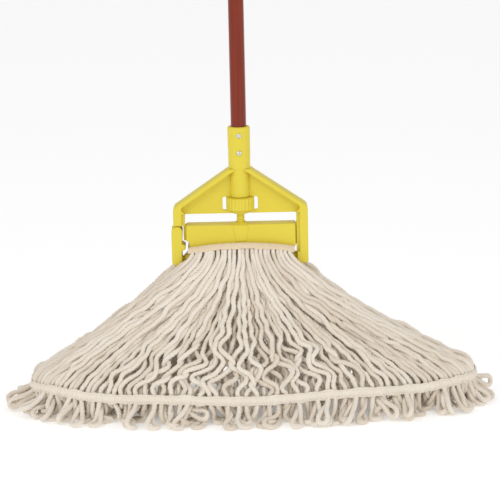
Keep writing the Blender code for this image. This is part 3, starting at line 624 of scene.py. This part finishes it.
# ---- build the mop head ------------------------------------------------------------------
rng = np.random.default_rng(SEED)
front_rows, pinned, hangs, front_radius = build_side(-1, rng)
back_rows, _, _, back_radius = build_side(1, rng)
yarn_radius = np.concatenate([front_radius, back_radius])
settled = settle(np.concatenate([front_rows, back_rows]), pinned, hangs, yarn_radius,
                 SETTLE_STEPS)

piece_parts = {}
for m in range(2 * LOOPS):
    side_word = "front" if m < LOOPS else "back"
    index = m % LOOPS
    line = smooth_line(settled[m], int(settled.shape[1] * SPACING / LINE_STEP))
    wobble = 1 + 0.05 * noise_1d(rng, len(line), 22.0) + 0.04 * noise_1d(rng, len(line), 7.0)
    own = yarn_radius[m]
    radius = np.interp(np.linspace(0, 1, len(line)), np.linspace(0, 1, len(own)), own) * wobble
    points, quads = yarn_tube(line, radius, YARN_SIDES, YARN_PLIES, YARN_PITCH, rng.uniform(0, 6.28), PLY_DEPTH)
    shade = np.full(len(points), rng.uniform(0, 1))
    which = min(PIECES_A_SIDE - 1, index * PIECES_A_SIDE // LOOPS)
    piece_parts.setdefault((side_word, which), []).append((points, quads, {"tone": shade}))
for (side_word, which), parts in sorted(piece_parts.items()):
    points, quads, values = merged(parts)
    obj = mesh_object("yarn_loops_%s_%d" % (side_word, which + 1), points, quads, YARN, values)
    bake_map(obj.data, len(line), YARN_SIDES, len(parts))
    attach(obj, "mop")
    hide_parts("yarn_%s_%d" % (side_word, which + 1))


HEAD_TOP_END = 0.2575        # top of the headband's rolls at their two ends
CHANNEL = 0.0147             # half width of the trough that the clamp plate presses
CHANNEL_Z = 0.2554           # floor of that trough
CLOTH = 0.0016               # thickness of the headband's cloth
SHOULDER_Z = 0.2487          # where the innermost yarns turn over the bar
HEAD_POINTS = 61             # points across the headband's cloth


def head_top(x):
    """Top of the headband's front and back rolls along their arch."""
    return HEAD_TOP_END + (HEAD_HIGH[2] - HEAD_TOP_END) * (1 - (np.abs(x) / HEAD_HIGH[0]) ** 2)


crown_parts = []
for m in range(LOOPS):
    for end in (0, -1):
        start, stop = settled[m][end], settled[m + LOOPS][end]
        below = settled[m][1 if end == 0 else -2], settled[m + LOOPS][1 if end == 0 else -2]
        depth = abs(start[1])
        rise = float(np.clip((depth - CLAMP_DEPTHS[-1]) / (CLAMP_DEPTHS[0] - CLAMP_DEPTHS[-1]), 0, 1))
        size = YARN_R_CLAMP if rise > 0.9 else YARN_R_SQUEEZED
        x_mid = 0.5 * (start[0] + stop[0])
        shoulder = SHOULDER_Z + rise * (head_top(x_mid) - CLOTH - size - 0.0003 - SHOULDER_Z)
        middle = BAR_TOP + 0.0024 + rise * (CHANNEL_Z - CLOTH - size - BAR_TOP - 0.0027)
        half_arc = [(depth, 0.55 * shoulder + 0.45 * start[2]), (depth - 0.0040 * rise - 0.0012, shoulder),
                    (min(CHANNEL - 0.0004, 0.6 * depth), 0.5 * (shoulder + middle)), (0.0, middle)]
        path = [start]
        for k, (y, z) in enumerate(half_arc):
            path.append(np.array([start[0] + (x_mid - start[0]) * (k + 1) / 4, -y, z]))
        for k, (y, z) in enumerate(half_arc[-2::-1]):
            path.append(np.array([x_mid + (stop[0] - x_mid) * (k + 1) / 4, y, z]))
        path.append(stop)
        path = [0.5 * (start + below[0])] + path + [0.5 * (stop + below[1])]
        arc = smooth_line(np.array(path), CROWN_POINTS, 0)
        points, quads = yarn_tube(arc, np.full(len(arc), size), CROWN_SIDES, CROWN_PLIES, CROWN_PITCH,
                                  rng.uniform(0, 6.28), CROWN_PLY_DEPTH)
        crown_parts.append((points, quads, {"tone": np.full(len(points), rng.uniform(0, 1))}))
points, quads, values = merged(crown_parts)
crown = mesh_object("yarn_over_bar", points, quads, YARN, values)
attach(crown, "mop")
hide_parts("yarn_crown")


def closed_strip(outer, inner):
    """A thin closed sheet from two grids of points of the same shape."""
    rows, cols = outer.shape[:2]
    points = np.concatenate([outer.reshape(-1, 3), inner.reshape(-1, 3)])
    n = rows * cols
    i, j = np.meshgrid(np.arange(rows - 1), np.arange(cols - 1), indexing="ij")
    a = (i * cols + j).ravel()
    faces = [np.stack([a, a + 1, a + cols + 1, a + cols], 1),
             np.stack([a, a + cols, a + cols + 1, a + 1], 1) + n]
    for edge, flip in ((np.arange(cols), False), ((rows - 1) * cols + np.arange(cols), True),
                       (np.arange(rows) * cols, True), (np.arange(rows) * cols + cols - 1, False)):
        one, two = edge[:-1], edge[1:]
        rim = np.stack([one, one + n, two + n, two], 1)
        faces.append(rim[:, ::-1] if flip else rim)
    return points, np.concatenate(faces)


def stitches(path, normal, pitch, length, size):
    """Short raised stitches along a path of points, standing on its surface normals."""
    step = np.linalg.norm(np.diff(path, axis=0), axis=1)
    run = np.concatenate([[0], np.cumsum(step)])
    parts = []
    for at in np.arange(pitch / 2, run[-1] - pitch / 2, pitch):
        t = np.linspace(-0.5, 0.5, 5)
        where = at + t * length
        line = np.stack([np.interp(where, run, path[:, c]) for c in range(3)], 1)
        face = np.stack([np.interp(where, run, normal[:, c]) for c in range(3)], 1)
        line = line + face * (size * 0.55 * (1 - (2 * t) ** 2) - size * 0.15)[:, None]
        thick = size * 0.5 * (1 - 0.55 * (2 * t) ** 4)
        points, quads = yarn_tube(line, thick, 6, 2, 0.01, 0.0, 0.0)
        parts.append((points, quads, {}))
    return merged(parts)


def head_section(x):
    """Middle of the headband's cloth across the clamp, from its front edge to its back edge."""
    top = float(head_top(x))
    edge = top - 0.0068 + 0.0006 * math.sin(x * 140) + 0.0004 * math.sin(x * 370 + 1)
    half = np.array([(0.0, CHANNEL_Z), (CHANNEL - 0.0016, CHANNEL_Z), (CHANNEL, CHANNEL_Z + 0.0018),
                     (CHANNEL, top - 0.0026), (CHANNEL + 0.0024, top - 0.0003), (CHANNEL + 0.0062, top),
                     (CHANNEL + 0.0105, top - 0.0022), (CHANNEL + 0.0143, edge)])
    run = np.concatenate([[0], np.cumsum(np.linalg.norm(np.diff(half, axis=0), axis=1))])
    fine = np.linspace(0, run[-1], HEAD_POINTS // 2 + 1)
    y, z = np.interp(fine, run, half[:, 0]), np.interp(fine, run, half[:, 1])
    for _ in range(2):
        y[1:-1] = 0.25 * y[:-2] + 0.5 * y[1:-1] + 0.25 * y[2:]
        z[1:-1] = 0.25 * z[:-2] + 0.5 * z[1:-1] + 0.25 * z[2:]
    y = np.concatenate([-y[::-1], y[1:]])
    z = np.concatenate([z[::-1], z[1:]])
    return y, z


stations = np.linspace(-HEAD_HIGH[0] + 0.0004, HEAD_HIGH[0] - 0.0004, 121)
outer = np.zeros((len(stations), HEAD_POINTS, 3))
for i, x in enumerate(stations):
    y, z = head_section(x)
    pucker = 0.00035 * math.cos(2 * math.pi * x / 0.0066)
    outer[i] = np.stack([np.full(HEAD_POINTS, x), y, z], 1)
    lift = np.abs(y) > CHANNEL + 0.004
    outer[i, lift, 1] += np.sign(y[lift]) * pucker
slope = np.gradient(outer, axis=1)
normal = unit(np.stack([np.zeros(slope.shape[:2]), -slope[..., 2], slope[..., 1]], -1))
normal *= np.where(normal[:, 30:31, 2:3] < 0, -1, 1)
points, quads = closed_strip(outer, outer - normal * CLOTH)
head = mesh_object("headband_cloth", points, quads, HEAD_TAPE)
parts = []
for col, sign in ((6, -1), (10, -1), (50, 1), (54, 1)):
    row = outer[:, col]
    face = normal[:, col]
    parts.append(stitches(row, face, pitch=0.0046, length=0.0034, size=0.0009))
points, quads, _ = merged(parts)
head_seam = mesh_object("headband_stitches", points, quads, THREAD)
for piece in (head, head_seam):
    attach(piece, "mop")
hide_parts("headband")


BAND_COLS = 13
BAND_ROWS = 1500
TAPE_THICK = 0.0014
for side, word in ((-1, "front"), (1, "back")):
    s = np.linspace(-0.998, 0.998, BAND_ROWS)
    middle = band_curve(s, side)
    tangent = unit(np.gradient(middle, axis=0))
    outward = unit(np.stack([tangent[:, 1], -tangent[:, 0], np.zeros(len(s))], -1))
    outward *= np.sign((outward * middle).sum(-1, keepdims=True))
    yarn_at = (s + 1) / 2 * STRANDS / 2
    rib = np.abs(np.cos(math.pi * yarn_at))
    upper_edge = 0.0011 * noise_1d(rng, len(s), 70.0)
    lower_edge = 0.0011 * noise_1d(rng, len(s), 50.0)
    loose = 0.0011 * (1 + noise_1d(rng, len(s), 90.0))
    grid = np.zeros((len(s), BAND_COLS, 3))
    for c in range(BAND_COLS):
        h = 2 * c / (BAND_COLS - 1) - 1
        rise = h * (BAND_H / 2 + 0.0009) + (upper_edge if h > 0 else lower_edge) * h * h
        crown_h = 1 - h * h
        press = 0.0013 * math.exp(-((abs(h) - 0.62) / 0.13) ** 2)
        stand = YARN_R * 0.80 + loose * crown_h + 0.0016 * (1 - rib) * (0.35 + 0.65 * crown_h) - press
        grid[:, c] = middle + outward * stand[:, None]
        grid[:, c, 2] += rise
    across = np.gradient(grid, axis=1)
    along = np.gradient(grid, axis=0)
    face = unit(np.cross(along, across))
    face *= np.sign((face[:, 6] * outward).sum(-1))[:, None, None]
    points, quads = closed_strip(grid + face * TAPE_THICK, grid)
    band = mesh_object("tail_band_tape_" + word, points, quads, TAPE)
    rows = []
    for c in (2, 10):
        rows.append(stitches(grid[:, c] + face[:, c] * TAPE_THICK, face[:, c], pitch=0.0048, length=0.0036,
                             size=0.0010))
    points, quads, _ = merged(rows)
    seam = mesh_object("tail_band_stitches_" + word, points, quads, THREAD)
    for piece in (band, seam):
        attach(piece, "mop")
    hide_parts("tail_band_" + word)


# ---- floor, light and camera ----------------------------------------------------------------
FLOOR_HALF = 30
PAINTED_SHADE_REACH = (0.30, 0.075)  # half sizes of the oval under the yarn where the floor glows less: painted shade under the mop
PAINTED_SHADE_GLOW, FLOOR_GLOW = 0.20, 0.30

floor_mesh = bpy.data.meshes.new("floor")
corners = [(x * FLOOR_HALF, y * FLOOR_HALF, 0) for x, y in ((-1, -1), (1, -1), (1, 1), (-1, 1))]
floor_mesh.from_pydata(corners, [], [(0, 1, 2, 3)])
floor = bpy.data.objects.new("floor", floor_mesh)
floor_look, floor_tree, floor_shader = new_material("floor_white")
floor_shader.inputs["Base Color"].default_value = (0.90, 0.90, 0.90, 1)
floor_shader.inputs["Roughness"].default_value = 0.9
floor_shader.inputs["Emission Color"].default_value = (1, 1, 1, 1)
# painted shade: the floor's glow is lowered inside the oval under the yarn, so the gaps between strands stay
# dark
flatten = floor_tree.nodes.new("ShaderNodeMapping")
flatten.inputs["Scale"].default_value = (1 / PAINTED_SHADE_REACH[0], 1 / PAINTED_SHADE_REACH[1], 0)
floor_tree.links.new(place(floor_tree), flatten.inputs["Vector"])
reach = floor_tree.nodes.new("ShaderNodeVectorMath")
reach.operation = "LENGTH"
floor_tree.links.new(flatten.outputs["Vector"], reach.inputs[0])
painted_shade_fade = floor_tree.nodes.new("ShaderNodeMapRange")
painted_shade_fade.inputs["From Min"].default_value = 0.95
painted_shade_fade.inputs["From Max"].default_value = 1.15
painted_shade_fade.inputs["To Min"].default_value = PAINTED_SHADE_GLOW
painted_shade_fade.inputs["To Max"].default_value = FLOOR_GLOW
floor_tree.links.new(reach.outputs["Value"], painted_shade_fade.inputs["Value"])
floor_tree.links.new(painted_shade_fade.outputs["Result"], floor_shader.inputs["Emission Strength"])
floor_mesh.materials.append(floor_look)
bpy.context.scene.collection.objects.link(floor)

world = bpy.data.worlds.new("studio")
bpy.context.scene.world = world
world.use_nodes = True
world.node_tree.nodes["Background"].inputs["Color"].default_value = (1.0, 1.0, 1.0, 1)
world.node_tree.nodes["Background"].inputs["Strength"].default_value = 0.70


def area_light(name, place_at, target, size, power):
    data = bpy.data.lights.new(name, "AREA")
    data.shape = "RECTANGLE"
    data.size, data.size_y = size
    data.energy = power
    obj = bpy.data.objects.new(name, data)
    bpy.context.scene.collection.objects.link(obj)
    obj.location = place_at
    obj.rotation_euler = (Vector(target) - Vector(place_at)).to_track_quat("-Z", "Y").to_euler()


area_light("key", (-1.3, -2.2, 2.3), target=(0, 0, 0.2), size=(1.6, 1.6), power=15)
area_light("fill", (1.8, -2.0, 1.3), target=(0, 0, 0.2), size=(1.8, 1.8), power=6)
area_light("strip_left", (-1.5, -1.5, 0.9), target=(0, 0, 0.6), size=(0.14, 2.0), power=3)
area_light("strip_right", (1.5, -1.5, 0.9), target=(0, 0, 0.6), size=(0.14, 2.0), power=3)

bpy.context.scene.view_settings.view_transform = "Standard"

camera_data = bpy.data.cameras.new("camera")
camera = bpy.data.objects.new("camera", camera_data)
bpy.context.scene.collection.objects.link(camera)
PIXEL = 0.001555             # metres at the mop for one pixel of the picture
PICTURE = 500                # pixels across the picture
SENSOR = 36                  # millimetres
ELEVATION = math.radians(13)
ROLL = math.radians(1.25)
LOOK_AT = Vector((0.0135, 0.0, 0.2478))
DISTANCE = 3.4
back = Vector((0, -math.cos(ELEVATION), math.sin(ELEVATION)))
camera.location = LOOK_AT + back * DISTANCE
camera_data.sensor_width = SENSOR
camera_data.lens = SENSOR * DISTANCE / (PICTURE * PIXEL)
camera_data.clip_end = 100
rotation = (-back).to_track_quat("-Z", "Y")
camera.rotation_mode = "QUATERNION"
camera.rotation_quaternion = rotation @ Quaternion((0, 0, 1), -ROLL)
bpy.context.scene.camera = camera
